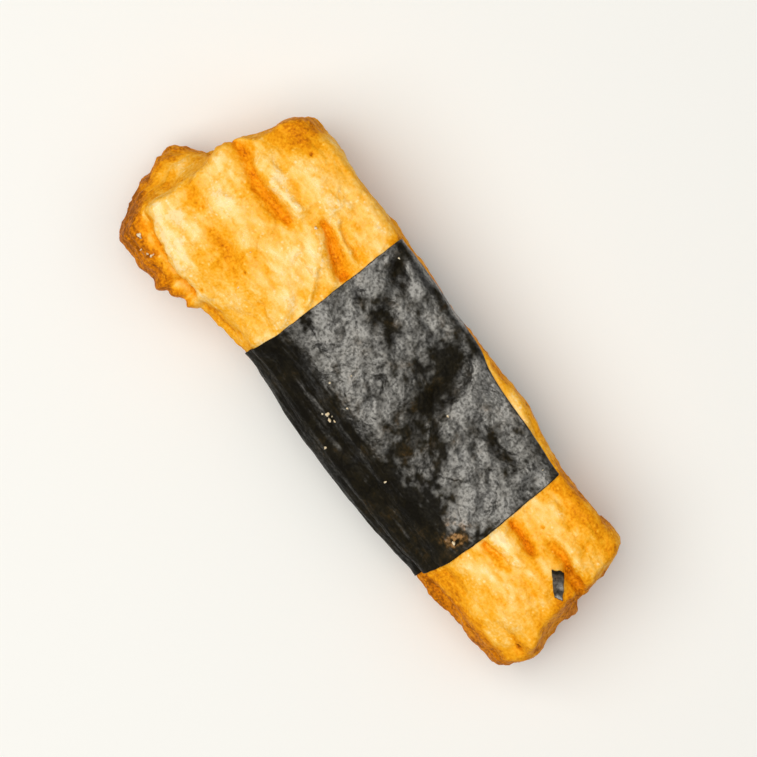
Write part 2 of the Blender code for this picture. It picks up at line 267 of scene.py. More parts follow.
# The baked stick. Its form is the same as the solid's: sizes in millimetres at places along X.
# A fold is a path, half its width, how deep it cuts, how high the lip on its left stands,
# and how far in from each of its ends it takes to grow. A cut below 0 is a ridge.
# Hills are a height, then size, seed, layers and stretch. Patches are a strength, below 0 where the
# crust is paler, then middle, reach, turn and crispness. A pair of places is where something begins
# and where it is full, with its strength before them where there are three numbers: four are where it
# begins, is full, falls back and ends.
stick = {
    "plusY": ((-21, 8.0), (-18, 8.1), (-13, 7.85), (-7, 7.55), (1, 7.0), (8, 6.75), (13, 5.95), (18, 5.9),
              (22, 6.2)),
    "minusY": ((-21, 9.1), (-18, 9.1), (-12.5, 7.4), (-8, 7.1), (1, 7.8), (8, 7.9), (14, 7.6), (19, 7.5),
               (22, 7.2)),
    "top": ((-21, 10.5), (-17, 11.5), (-12, 11.3), (-7, 10.7), (2, 10.3), (10, 10.2), (15, 10.6), (19, 10.8),
            (22, 10.0)),
    "under": ((-21, 0.0), (-17, -0.4), (-12, 0.4), (-7, 0.8), (2, 0.9), (10, 0.7), (14, 0.3), (18, -0.4),
              (22, 0.1)),
    "crestY": ((-21, 1.0), (-10, 2.0), (8, 1.8), (22, 0.2)),
    "midHeight": 5.4,
    "waist": 0.47,
    "square": (9.0, 2.35, 2.8, 2.5),  # top +Y, top -Y, bottom +Y, bottom -Y: 2 is round, more is boxier
    "samples": 1441,
    "tangentShare": 0.004,
    "wideEnd": ((-9, -21.3), (-5.7, -21.7), (-3.2, -21.3), (-1, -21.2), (1.4, -21.6), (4, -20.5),
                (6.4, -20.0), (8.3, -19.2)),
    "narrowEnd": ((-7.5, 21.6), (-6.3, 22.4), (-4.6, 22.8), (-2.8, 21.9), (-0.5, 21.5), (1.5, 21.4),
                  (3.5, 21.2), (6.5, 20.3)),
    "wideMean": -21.5,
    "narrowMean": 21.8,
    "endLean": 0.03,
    # how far the wide end's lower half breaks out past its top edge, and between which heights
    "wideBulge": ((-9.5, 0.2), (-7.7, 0.7), (-6.2, 1.3), (-4.2, 2.1), (-2.6, 2.75), (-1.5, 2.3), (-0.7, 1.6),
                  (0.0, 0.5), (0.7, 0.05), (8, 0)),
    "bulgeHeights": (-0.5, 2.5, 4.5, 9.0),
    "narrowSwelling": ((-1.6, 4.4), 2.6, 0.7),  # its middle in Y and Z, its reach and its height
    "endReach": 7.0,
    "endRounding": 1.2,
    "endSquare": 5.5,
    "endRough": ((0.8, 3.0),),
    "capRings": 18,
    "capCrowding": 0.8,
    "flutes": 16,
    "fluteShift": 0.42,
    "fluteDepth": 0.7,
    "fluteSharp": 0.75,
    "fluteDrift": (0.3, 9, 7.0, 3.1),  # how far, over what length, how unlike each other, and a seed
    "fluteUneven": (0.6, 8, 5.3, 8.7),
    "fluteMean": 0.62,
    "back": (0.03, 0.09, 0.42, 0.5),
    "backSoft": 0.75,
    "folds": (
        ([(-22.5, 3.3), (-20.4, 2.4), (-19.0, 1.9), (-17.6, 1.7), (-15.0, 1.6), (-12.6, 1.95)],
         0.43, 0.66, 0.42, (0, 1.6)),
        ([(-7.3, 2.1), (-9.0, 2.25), (-10.0, 2.65), (-11.0, 3.15), (-12.7, 3.8)],
         0.46, 0.85, 0.12, (0, 1.0)),
        ([(-7.0, 3.35), (-9.0, 3.5), (-10.6, 3.8), (-12.2, 4.25)], 0.3, -0.26, 0.0, (0, 1.0)),
        ([(-7.0, 4.15), (-10.0, 4.15), (-12.4, 4.9)], 0.34, 0.4, -0.1, (0, 1.5)),
        ([(-16.5, 4.0), (-13.6, 3.5)], 0.6, 0.16, 0.1, (1.2, 1.2)),
        ([(-22.4, -2.4), (-19.5, -2.7), (-16.5, -2.9), (-13.4, -3.8), (-11.8, -4.0)],
         0.8, 0.42, 0.0, (0, 2.5)),
        ([(-10.2, 1.3), (-9.2, 0.3), (-8.2, -1.0)], 0.26, -0.24, -0.1, (0.8, 0)),
        ([(-11.9, 1.6), (-11.6, -0.6)], 0.4, -0.14, 0.0, (0.8, 0.8)),
        ([(-10.0, -1.6), (-8.9, -2.5), (-8.1, -3.7)], 0.34, -0.22, -0.14, (0.9, 0)),
        ([(-11.0, -3.4), (-9.4, -4.2), (-7.6, -4.8)], 0.34, 0.26, 0.08, (1.0, 0)),
        ([(-22.3, -5.2), (-21.2, -6.3), (-19.4, -7.2), (-16.8, -7.45), (-12.6, -7.35), (-8.0, -7.1)],
         0.4, 0.85, 0.2, (0.5, 5)),
        ([(17.6, 0.05), (16.2, 0.1), (15.0, 0.35), (12.4, 0.45)], 0.4, 0.8, 0.3, (1.3, 0)),
        ([(16.7, 1.6), (18.2, 1.9), (19.2, 1.85), (20.3, 1.5), (21.8, 1.0)], 0.34, 0.7, 0.2, (1, 0)),
        ([(12.4, -2.2), (14.2, -2.1), (16.8, -1.6)], 0.26, 0.5, 0.16, (0, 2.0)),
        ([(12.4, 4.7), (16.0, 4.3), (18.0, 3.5), (20.4, 3.6)], 0.5, 0.22, 0.0, (0, 1)),
        ([(17.8, 4.7), (19.6, 4.4)], 0.32, -0.16, 0.0, (0.6, 0.6)),
        ([(17.6, -1.3), (19.6, -1.9), (22.4, -2.4)], 0.45, 0.26, 0.0, (1, 0)),
        ([(17.4, -5.4), (20.0, -5.0), (22.6, -5.2)], 0.6, 0.2, 0.08, (1.5, 0)),
        ([(12.4, -5.9), (17.0, -5.7)], 0.6, 0.14, 0.08, (0, 1.5)),
    ),
    # in widths: the cut's reach on its left and right, the lip's place, and its reach inwards and outwards
    "foldShape": (0.75, 1.5, 2.3, 0.9, 1.6),
    "pressedShut": (-0.45, 0.05),
    # X, height and width of each, then their middle round the stick and their reach
    "teeth": ((-18.4, 0.3, 0.5), (-16.4, 0.8, 0.5), (-15.1, 0.6, 0.6), (-13.8, 1.0, 0.42)),
    "teethAt": (0.485, 0.03),
    "puffs": ((0.25, 3.5),),
    "lump": 0.12,
    "lumpHills": (1.5, 3, 2, (1.6, 1, 1)),
    "grit": 0.045,
    "gritHills": (0.6, 8, 3),
    "fibres": ((0.06, 0.42, 5, 2, (4, 1, 1)),),
    "bubble": 0.09,
    "bubbleCells": (0.8, 2),
    "bubbleReach": 0.6,
    "bubbly": ((4.0, 6), (-0.1, 0.5)),
    "flaky": 0.08,
    "flakySteps": ((1.9, 7, 2, (1.8, 1, 1)), (-0.03, 0.05)),
    "pit": 0.14,
    "pitCells": (1.9, 4),
    "pitReach": 0.11,
    "pitSharp": 0.7,
    "lowSide": (8.6, 5.0),
    "rims": ((18.8, 21.5), (-18.8, -21.2)),
    "rimRagged": ((0.12, 0.9, 9, 2),),
    "raisedShare": 0.5,
    "around": 340,
    "ringSteps": (0.125, 0.25, 0.125),  # left of the wrap, under it and right of it
    "overlap": 0.6,
    "skinStops": (0.0, -0.3),
    # how far flutes and folds count as hollows
    "fluteHollow": 0.9,
    "foldHollow": 1.2,
    "hollowShift": 0.05,
    "hollowLowest": -0.6,
    "capHollow": 0.7,
    # how far it is browned, from 0 for pale to 1 for dark, with painted shade and painted highlights added
    # in places
    "brownMean": 0.29,
    "brownBendX": ((0.5, 1.5, 24, 2),),
    "brownBendY": ((0.4, 1.2, 25, 2),),
    "mottles": ((0.12, 4.5, 21, 3, (1.4, 1, 1)), (0.14, 1.5, 22, 3, (2.2, 1, 1)),
                (0.12, 0.5, 23, 2, (1.6, 1, 1))),
    "above": (3.0, 6.0),
    "corner": ((-18.7, 6.3), (1.7, 2.1), -20, 2),
    "cornerBrown": 0.5,
    "cornerCalm": 0.6,
    # the pale patches, below 0, are mostly painted highlights on lips and lit bands; the browner ones on the
    # narrow end's top edge and far tip are partly painted shade
    "topPatches": (
        (0.1, (-19.7, -2.6), (1.3, 0.6), -6), (0.08, (-14.2, -3.3), (1.5, 0.8), -20),
        (-0.12, (-17.0, -0.8), (4.0, 0.9), -3), (-0.23, (-15.4, 2.7), (2.6, 0.6), -8, 2),
        (-0.4, (-22.2, -1.9), (0.6, 1.2)), (0.14, (-20.6, 2.4), (0.9, 1.2)),
        (-0.27, (-19.2, -5.2), (2.2, 1.5), 10), (-0.2, (-10.4, 0.4), (2.0, 1.8)),
        (0.46, (16.4, 5.3), (4.0, 1.0), -2), (0.5, (21.0, 0.8), (0.8, 1.5), 15),
        (-0.22, (15.0, -3.7), (3.2, 0.8)), (-0.08, (14.4, 2.6), (1.9, 1.4)),
    ),
    # the pale band on the narrow end below its groove is a painted highlight
    "patches": ((0.06, (-22.2, -5.6), (1.0, 1.2)), (-0.44, (14.6, -1.0), (2.4, 0.6), -4)),
    "tips": ((0.3, 20.3, 22.2), (0.16, -20.8, -22.2), (0.16, -22.4, -23.8), (0.06, 12.0, 14.0)),
    # the narrow end's low -Y edge is painted browner, partly as painted shade
    "nearEdgeShade": (0.76, -5.7, -7.7),
    "nearEdgeShadeX": (9.0, 12.0),
    "nearEdgeShadeZ": (3.5, 7.0),
    # the crust beside the wrap on the +Y side is painted browner as shade
    "farEdgeShade": (0.22, 6.0, 6.8),
    "farEdgeShadeX": (-8.5, -7.5, 12.5, 13.5),
    # past the shoulder the wide end's broken lower side is painted browner, partly as shade, then darker
    # still as painted shade; its facet is kept paler as a painted highlight
    "shoulder": ((-23.0, -4.6), (-21.2, -6.3), (-19.4, -7.2), (-16.8, -7.45), (-12.6, -7.35), (-8.0, -7.1)),
    "broken": (-8.5, -15.5),
    "brokenBrownAndShade": (0.7, 0.0, 0.8),  # past the shoulder
    "brokenShade": (0.06, 0.2, 1.2),
    "brokenZ": (1.0, 6.0),
    "facet": ((-22.4, -3.0), (1.2, 2.0)),
    "facetHighlight": 0.6,
    # browner lower down, partly painted shade
    "lowBrownAndShade": (0.26, 9.8, 3.0),
    # browner where the crust faces sideways, a painted shade
    "steepShade": (0.12, 0.8, 0.2),
    # browner in hollows, partly painted shade, and paler on lips and raised bumps as painted highlights
    "hollowShadeAndLipLight": (0.37, 0.34),
    "deepBrownAndShade": (0.07, 0.7, 1.0),
    "raisedHighlight": 0.14,
    "softLimit": (0.55, 0.4),
    # its finish
    "bake": ((0.0, (253, 222, 160)), (0.14, (254, 206, 112)), (0.32, (252, 188, 66)), (0.5, (247, 171, 28)),
             (0.68, (231, 147, 11)), (0.84, (204, 118, 7)), (1.0, (152, 84, 6))),
    "mottleStretch": (0.45, 1.0, 1.0),
    "mottle": (1.6, 4.0),  # scale and detail
    "fine": (5.0, 3.0),
    "mottleBrown": 0.12,
    "speckle": 0.15,
    "pitBrown": 0.6,
    "blister": 0.3,
    "blisterScale": 2.3,
    "blisterEdge": (0.08, 0.36),
    "blisterPlaces": (0.47, 0.6),
    "roughness": (0.45, 0.65),
    "gloss": 0.05,
    "glazed": (0.6, 0.93),
    "glaze": (0.05, 1.0),
    "glazePlaces": (0.42, 0.6),
    "glazeBaked": (0.2, 0.6),
    "glazeRoughness": 0.27,
    "glazeDensity": 1.75,
    "glow": 0.04,
    "glowColour": (1.0, 0.7, 0.35),
    "glowReach": 0.5,
    "bubbleScale": 3.4,
    "grain": 0.5,
    "grainShares": (0.7, 0.4),
    "grainHeight": 0.14,
}

# The wrap of dried seaweed, with its folds, hills and patches given as the stick's are.
# Places round the stick are shares of the way round, from its +Y side up.
nori = {
    # X of its two side edges at places along Y, and where it starts round the stick at places along X
    "left": ((-7.4, -8.5), (-6.1, -8.2), (-4.4, -7.9), (-2.5, -7.8), (1, -7.75), (7.7, -7.6)),
    "right": ((-7.6, 12.7), (-6.1, 13.15), (-4.2, 13.4), (-2.3, 13.5), (1, 13.5), (5.8, 13.35)),
    "start": ((-9, 0.1), (-5, 0.094), (-2, 0.088), (0.4, 0.092), (2, 0.108), (3.5, 0.117), (5, 0.123),
              (7, 0.127), (9, 0.127), (11, 0.125), (14, 0.129)),
    "end": 0.945,
    "fluteShare": 0.45,
    "thickness": 0.11,
    "thicker": 0.12,
    "gap": 0.02,
    # how far in from its edges the crust is hollow under it, it leaves the crust, and it crumples
    "hollowUnder": (0.8, 0.5, 1.2),
    "free": (0.5, 2.0),
    "crumpled": (0.5, 1.8),
    "insideMost": 5.0,
    "edgeWander": ((0.06, 1.2, 41, 3),),
    "edgeSharp": 12,
    "edgeLift": (0.12, 1.2, 0.0),
    "liftPlaces": ((2.2, 43), (0.0, 0.6)),
    "edgeCalm": (0.6, 1.2, 0.3),
    "folds": (
        ([(2.2, 7.2), (2.9, 4.6), (3.4, 2.5), (4.0, 0.6), (5.2, -0.9), (6.2, -2.8), (7.8, -4.2)],
         1.0, 0.5, 0.2, (0, 2.5)),
        ([(-7.0, 6.3), (-5.6, 5.7), (-4.1, 4.9)], 0.5, 0.36, 0.0, (1.2, 1.2)),
        ([(-5.0, 3.9), (-3.6, 2.9), (-2.5, 2.0)], 0.6, 0.34, 0.0, (1.4, 1.4)),
        ([(-7.4, 2.4), (-6.4, 2.3), (-5.2, 1.9)], 0.34, 0.26, 0.04, (0.6, 1.4)),
        ([(-7.8, -1.8), (-6.2, -2.3)], 0.34, 0.26, 0.04, (0, 1.4)),
        ([(6.0, 3.5), (7.4, 3.1), (8.8, 3.1), (10.2, 3.5), (11.6, 3.6)], 0.42, 0.24, 0.0, (1.5, 2.0)),
        ([(8.2, 6.2), (9.2, 4.6), (9.6, 3.6)], 0.5, 0.14, 0.1, (0.6, 0.6)),
        ([(9.6, 1.8), (11.2, 0.6), (12.6, -0.6)], 0.5, 0.16, 0.14, (0.8, 0.6)),
        ([(-1.0, -0.4), (0.6, -1.6), (1.6, -3.2)], 0.6, 0.18, 0.1, (0.8, 0.8)),
        ([(-8.6, -5.2), (-3.0, -5.3), (1.5, -5.6), (7.0, -6.0), (13.4, -6.2)], 0.95, 0.34, 0.2, (0, 0)),
    ),
    "foldShape": (0.85, 1.2, 2.1, 1.4, 1.5),
    "crumpleTurn": -35,
    "crumples": ((0.13, 1.9, 31, 2, (1.9, 1, 1)), (0.06, 0.85, 36, 2, (1.5, 1, 1))),
    "crinkles": ((0.024, 0.55, 35, 3, (1.4, 1, 1)),),
    "wrinkle": 0.03,
    "wrinkleHills": (1.5, 33, 3, (1.6, 1, 1)),
    "wrinkleThin": 3.0,
    "wrinkleMean": 0.3,
    "side": (0.35, 0.41, 0.6, 0.7),
    "sideCrumple": 0.5,
    "sideCrinkle": 0.4,
    "sideRidges": ((0.06, 0.5, 37, 2, (9, 1, 1)),),
    "along": 204,
    "around": 428,
    "coarser": 4,
    # where it is thin and browner from wear, and where painted shade darkens it
    "wornBits": (  # patches that hills break up, and above which heights
        ((0.8, (12.3, -3.5), (1.5, 1.0), -25), (0.45, 48, 2), (-0.7, 0.4), 5),
        ((0.3, (9.0, 5.5), (1.6, 0.3), -4), (0.5, 47), (0.1, 0.4), 0),
    ),
    "wornPatches": ((0.26, (11.0, -6.2), (4.0, 1.8), 15), (0.2, (-7.0, -5.6), (2.6, 1.2))),
    "wornHills": ((0.26, 2.6, 45, 3), (0.2, 0.7, 46, 2)),
    # darker along the wrinkles and on the -Y side: painted shade
    "wrinkleShade": (0.22, 0.6, 0.95),
    "shadeBlack": 0.14,
    # its darker -Y side
    "shadeStart": 0.37,
    "shadeSlope": -0.0015,
    "shadeWander": ((0.022, 2.4, 49, 3),),
    "shadeEdge": (-0.028, 0.034),
    "shadeEnd": (0.66, 0.55),
    "shadeDull": 0.82,
    "shadeCalm": 0.72,
    "shadeStreaks": ((0.5, 0.34, 53, 3, (11, 1, 1)), (0.34, 1.3, 54, 2, (6, 1, 1))),
    # its silver haze: a dull patch below 0 shines more
    "silver": 0.65,
    "haze": ((0.85, 1.5, 51, 2, (1.5, 1, 1)),),
    "fineHaze": ((0.6, 0.45, 52, 2),),
    "valley": ((2.3, 3.4), (1.4, 4.3), 14),
    "valleyDull": 0.84,
    "valleyCalm": 0.6,
    "dull": (
        (0.75, (4.6, -1.9), (2.4, 1.5), -25), (0.4, (2.8, 1.0), (1.6, 1.6)),
        (0.3, (-0.4, 4.8), (1.7, 2.2)), (-0.25, (-4.5, -1.0), (3.2, 2.2)),
        (-0.2, (4.4, 3.8), (0.9, 3.0), 12), (0.6, (12.2, -3.4), (1.4, 0.9), -20),
        (0.6, (-3.5, 2.8), (1.4, 0.65), -34), (0.85, (-5.5, 5.6), (1.6, 0.55), -26),
        (0.4, (9.0, 3.2), (2.4, 0.28), 3), (0.6, (-6.4, 2.2), (1.1, 0.3), -12),
        (-0.2, (-4.0, -2.2), (4.2, 1.7)), (-0.5, (4.5, 4.0), (0.6, 2.4), 22),
        (0.35, (7.6, -3.0), (2.6, 0.9), -12), (-0.24, (9.8, 3.0), (4.0, 3.6)),
    ),
    "farShine": (0.25, 4.8, 5.8),
    # its finish
    "sheet": ((0.0, (14, 11, 5)), (0.35, (27, 23, 12)), (0.6, (46, 36, 18)), (0.82, (92, 66, 32)),
              (1.0, (156, 118, 74))),
    "mottle": (0.9, 5.0),
    "fine": (4.5, 4.0),
    "fleckScale": 3.2,
    "mottleTone": (0.12, 0.4),
    "fineTone": (-0.16, 0.16),
    "roughness": (0.62, 0.4),
    "gloss": 0.08,
    "silverSpots": (0.36, 0.56),
    "silverShare": (0.4, 1.0),
    "silverRoughness": 0.28,
    "silverDensity": 2.1,
    "grain": 0.45,
    "grainShares": (0.8, 0.3),
    "grainHeight": 0.14,
}

# How the folds of both wander and differ in depth, and where they end round the stick.
folding = {
    "wanderX": ((0.14, 1.4, 61, 2),),
    "wanderY": ((0.14, 1.1, 62, 2),),
    "uneven": ((0.45, 2.0, 63),),
    "started": -0.1,
    "onTop": (0.0, 0.03, 0.47, 0.5),
}


def section(x, shares, form=stick):
    # points and outward directions round the smooth section at x
    turn = np.linspace(0, 2 * math.pi, form["samples"])
    cosine, sine = np.cos(turn), np.sin(turn)
    plus, up = cosine >= 0, sine >= 0
    topPlus, topMinus, lowPlus, lowMinus = form["square"]
    square = np.where(up, np.where(plus, topPlus, topMinus), np.where(plus, lowPlus, lowMinus))
    top, low, crest = along(form["top"], x), along(form["under"], x), along(form["crestY"], x)
    waist = low + form["waist"] * (top - low)
    reach = np.where(plus, along(form["plusY"], x) - crest, along(form["minusY"], x) + crest)
    rise = np.where(up, top - waist, waist - low)
    y = crest + reach * np.sign(cosine) * np.abs(cosine) ** (2 / square)
    z = waist + rise * np.sign(sine) * np.abs(sine) ** (2 / square)
    gone = np.concatenate([[0], np.cumsum(np.hypot(np.diff(y), np.diff(z)))])
    girth = gone[-1]
    gone /= girth
    near = form["tangentShare"]
    ahead, behind = np.mod(shares + near, 1.0), np.mod(shares - near, 1.0)
    dy = np.interp(ahead, gone, y) - np.interp(behind, gone, y)
    dz = np.interp(ahead, gone, z) - np.interp(behind, gone, z)
    size = np.hypot(dy, dz)
    shares = np.mod(shares, 1.0)
    y, z = np.interp(shares, gone, y), np.interp(shares, gone, z)
    out = np.stack([0 * dy, dz / size, -dy / size], axis=-1)
    return np.stack([np.full_like(y, x), y, z], axis=-1), out, girth


def sections(places, shares):
    # the same for many places at once
    rows = [section(x, s) for x, s in zip(places, shares)]
    points, out, girth = (np.array(part) for part in zip(*rows))
    return points, out, girth[:, None]


def longHills(x, other, row):
    # hills along X that differ with something else: how high, how long, how unlike, and a seed
    height, length, unlike, seed = row
    return height * hills(np.stack([x, unlike * other, np.full_like(x, seed)], -1), length)


def fluteDepth(points, shares, form=stick):
    x = points[..., 0]
    phase = shares * form["flutes"] + form["fluteShift"] + longHills(x, shares, form["fluteDrift"])
    crest = np.abs(np.sin(math.pi * phase)) ** form["fluteSharp"]
    groove = np.round(phase) % form["flutes"]
    uneven = form["fluteMean"] + longHills(x, groove, form["fluteUneven"])
    back = form["backSoft"] * between(*form["back"], shares)
    return form["fluteDepth"] * uneven * (1 - crest) * (1 - back)


def foldDepth(points, shares, form):
    # how far the folds cut in, less the lips that stand up beside them
    left, right, lipAt, lipIn, lipOut = form["foldShape"]
    x = points[..., 0] + hilly(points, folding["wanderX"])
    y = points[..., 1] + hilly(points, folding["wanderY"])
    uneven = 1 + hilly(points, folding["uneven"])
    started = folding["started"]
    depth = np.zeros(x.shape)
    for path, width, cut, lip, (growIn, growOut) in form["folds"]:
        off, gone, length = nearLine(x, y, path)
        grown = uneven * ease(started, growIn, gone) * ease(started, growOut, length - gone)
        wall = off / width
        crest = wall - lipAt
        depth += grown * cut * np.exp(-((wall / np.where(wall > 0, left, right)) ** 2))
        depth -= grown * lip * np.exp(-((crest / np.where(crest < 0, lipIn, lipOut)) ** 2))
    return depth * between(*folding["onTop"], shares)


def bareDepth(points, shares, inside, form=stick):
    # the folds, puffs and teeth of the bare crust: the wrap presses the folds shut at its edge
    bare = 1 - ease(*form["pressedShut"], inside)
    depth = bare * foldDepth(points, shares, form) - hilly(points, form["puffs"])
    middle, reach = form["teethAt"]
    side = np.exp(-(((shares - middle) / reach) ** 2))
    for at, height, width in form["teeth"]:
        depth -= height * side * np.exp(-(((points[..., 0] - at) / width) ** 2))
    return depth


def insideWrap(points, shares, girth, form=nori):
    # how far in from the edge of the wrap, in millimetres, and below 0 outside it
    x, y = points[..., 0], points[..., 1]
    left, right = x - along(form["left"], y), along(form["right"], y) - x
    start, end = (shares - along(form["start"], x)) * girth, (form["end"] - shares) * girth
    return np.minimum.reduce([left, right, start, end])


def endAt(y, z, which, form=stick):
    # X of the wide or the narrow end's face
    out = form["endLean"] * (form["midHeight"] - z)
    if which == "wide":
        out += along(form["wideBulge"], y) * between(*form["bulgeHeights"], z)
        return along(form["wideEnd"], y) - out
    middle, reach, height = form["narrowSwelling"]
    off = np.hypot(y - middle[0], z - middle[1]) / reach
    return along(form["narrowEnd"], y) + out + height * np.exp(-off * off)


def slanted(points, form=stick):
    # the form with its ends pushed out to their uneven faces
    x, y, z = np.moveaxis(points, -1, 0)
    moved = points.copy()
    for which, mean, outward in (("wide", form["wideMean"], -1), ("narrow", form["narrowMean"], 1)):
        near = ease(form["endReach"], 0, outward * (mean - x) - form["endRounding"])
        moved[..., 0] += near * (endAt(y, z, which) - mean)
    return moved


def ringPlaces(form=stick):
    # where the rings of points lie along X
    stops = (form["wideMean"] + form["endRounding"], max(x for _, x in nori["left"]) + form["overlap"],
             min(x for _, x in nori["right"]) - form["overlap"], form["narrowMean"] - form["endRounding"])
    places = [stops[0]]
    for start, stop, step in zip(stops, stops[1:], form["ringSteps"]):
        places += [*np.linspace(start, stop, round((stop - start) / step) + 1)[1:]]
    return np.array(places)


def capRings(last, which, form=stick):
    # rings that close an end, the last ones close together
    outward = 1 if which == "narrow" else -1
    middle = last.mean(axis=0)
    rings = []
    for k in range(1, form["capRings"]):
        share = math.cos(0.5 * math.pi * k / form["capRings"]) ** form["capCrowding"]
        ring = middle + share * (last - middle)
        inset = form["endRounding"] * (1 - (1 - share ** form["endSquare"]) ** (1 / form["endSquare"]))
        ring[:, 0] = endAt(ring[:, 1], ring[:, 2], which) - outward * inset
        ring[:, 0] += (1 - share**2) * hilly(ring, form["endRough"])
        rings.append(ring)
    return rings


def fitToFrame(points):
    # the stretch and shift that put the smooth form exactly in the solid's box
    low, high = (np.array(corner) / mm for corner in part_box("cracker"))
    ownLow, ownHigh = points.min(axis=0), points.max(axis=0)
    stretch = (high - low) / (ownHigh - ownLow)
    return stretch, low - ownLow * stretch


def skin(points, bare, form=stick):
    # lumps, fibres, bubbles, flaky steps and pits, as a height over the smooth form
    x, z = points[..., 0], points[..., 2]
    lump, grit = hills(points, *form["lumpHills"]), hills(points, *form["gritHills"])
    lowSide = ease(*form["lowSide"], z)
    bubbly = np.clip(patchy(points, *form["bubbly"]) + lowSide, 0, 1)
    bubble = bubbly * np.clip(1 - (cells(points, *form["bubbleCells"]) / form["bubbleReach"]) ** 2, 0, 1)
    pit = np.clip(1 - cells(points, *form["pitCells"]) / form["pitReach"], 0, 1) ** form["pitSharp"]
    rim = sum(ease(*run, x) for run in form["rims"])
    height = form["lump"] * lump * (1 + lowSide) + form["grit"] * grit + hilly(points, form["fibres"])
    height += form["bubble"] * bubble + form["flaky"] * patchy(points, *form["flakySteps"])
    height += rim * hilly(points, form["rimRagged"]) - form["pit"] * pit
    return bare * height, pit * bare, lump + form["raisedShare"] * (bubble + grit)


def browningAndPaintedLight(points, hollow, raised, facing, form=stick):
    # how far the crust is browned, from 0 for pale to 1 for dark, with painted shade and painted highlights
    # added: facing is 1 where it looks straight up
    z = points[..., 2]
    x = points[..., 0] + hilly(points, form["brownBendX"])
    y = points[..., 1] + hilly(points, form["brownBendY"])
    above = ease(*form["above"], z)
    corner = blotch(x, y, *form["corner"]) * above
    toastAndPaintedLight = form["brownMean"] + form["cornerBrown"] * corner
    # patches that are partly painted highlights and painted shade
    toastAndPaintedLight = toastAndPaintedLight + blotches(x, y, form["topPatches"]) * above + blotches(x, y, form["patches"])
    toastAndPaintedLight += sum(rising(row, x) for row in form["tips"])
    # painted shade along the narrow end's low -Y edge, with some browning
    toastAndPaintedLight += rising(form["nearEdgeShade"], y) * ease(*form["nearEdgeShadeX"], x) * ease(*form["nearEdgeShadeZ"], z)
    # painted shade on the crust beside the wrap's +Y edge
    toastAndPaintedLight += rising(form["farEdgeShade"], y) * between(*form["farEdgeShadeX"], x) * above
    # the broken lower side: browner partly as painted shade, its lit facet paler as a painted highlight
    past = -nearLine(x, y, form["shoulder"])[0]
    broken, facet = ease(*form["broken"], x), blotch(x, y, *form["facet"])
    outer = broken * ease(*form["brokenZ"], z) * (1 - form["facetHighlight"] * facet)
    toastAndPaintedLight += rising(form["brokenBrownAndShade"], past) * outer
    # browner lower down, partly painted shade
    toastAndPaintedLight += rising(form["lowBrownAndShade"], z) * (1 - corner)
    toastAndPaintedLight += hilly(points, form["mottles"]) * (1 - form["cornerCalm"] * corner)
    # painted shade in hollows, painted highlights on lips and raised bumps
    toastAndPaintedLight += np.where(hollow > 0, *form["hollowShadeAndLipLight"]) * hollow - form["raisedHighlight"] * raised
    # painted shade on the sideways-facing crust
    toastAndPaintedLight += rising(form["steepShade"], facing)
    limit, room = form["softLimit"]
    toastAndPaintedLight = np.where(toastAndPaintedLight > limit, limit + room * (1 - np.exp(-(toastAndPaintedLight - limit) / room)), toastAndPaintedLight)
    # deeper hollows darker still, partly painted shade
    toastAndPaintedLight += rising(form["deepBrownAndShade"], hollow) * above
    toastAndPaintedLight += rising(form["brokenShade"], past) * broken * (1 - facet)
    return np.clip(toastAndPaintedLight, 0, 1)


def crustMaterial(look=stick):
    made, tree, shader, place = startMaterial("bakedRiceCrust")
    brownAndPaintedLight, pit = readMark(tree, "brownAndPaintedLight"), readMark(tree, "pit")
    stretch = {0: place, 1: look["mottleStretch"]}
    drawn = addNode(tree, "VectorMath", stretch, operation="MULTIPLY").outputs[0]
    mottle, fine = addNoise(tree, drawn, *look["mottle"]), addNoise(tree, place, *look["fine"])
    bubble = addCells(tree, place, look["bubbleScale"])
    blister = addCells(tree, place, look["blisterScale"])
    blister = addMath(tree, "MULTIPLY", addRange(tree, blister, *look["blisterEdge"], look["blister"], 0.0),
                      addRange(tree, mottle, *look["blisterPlaces"], 0.0, 1.0))
    speck = addRange(tree, fine, *noiseSpread, -look["speckle"], look["speckle"])
    patch = addRange(tree, mottle, *noiseSpread, -look["mottleBrown"], look["mottleBrown"])
    # the mark's browned tones with their painted shade and highlights, plus random specks and patches
    bakedAndPaintedLight = addMath(tree, "ADD", brownAndPaintedLight, addMath(tree, "ADD", speck, patch))
    bakedAndPaintedLight = addMath(tree, "SUBTRACT", addMath(tree, "MULTIPLY_ADD", pit, look["pitBrown"], bakedAndPaintedLight), blister)
    colour = addRamp(tree, bakedAndPaintedLight, look["bake"])
    rough = addRange(tree, mottle, *noiseCore, *look["roughness"])
    glaze = addMath(tree, "MULTIPLY", addRange(tree, fine, *look["glazePlaces"], *look["glaze"]),
                    addRange(tree, bakedAndPaintedLight, *look["glazeBaked"], 1.0, 0.0))
    fill(shader, {
        "Base Color": colour,
        "Roughness": rough,
        "Specular IOR Level": look["gloss"],
        "Coat Weight": addMath(tree, "MULTIPLY", glaze, readMark(tree, "glazed")),
        "Coat Roughness": look["glazeRoughness"],
        "Coat IOR": look["glazeDensity"],
        "Subsurface Weight": look["glow"],
        "Subsurface Radius": look["glowColour"],
        "Subsurface Scale": look["glowReach"] * mm,
        "Normal": addGrain(tree, fine, bubble, look),
    })
    return made


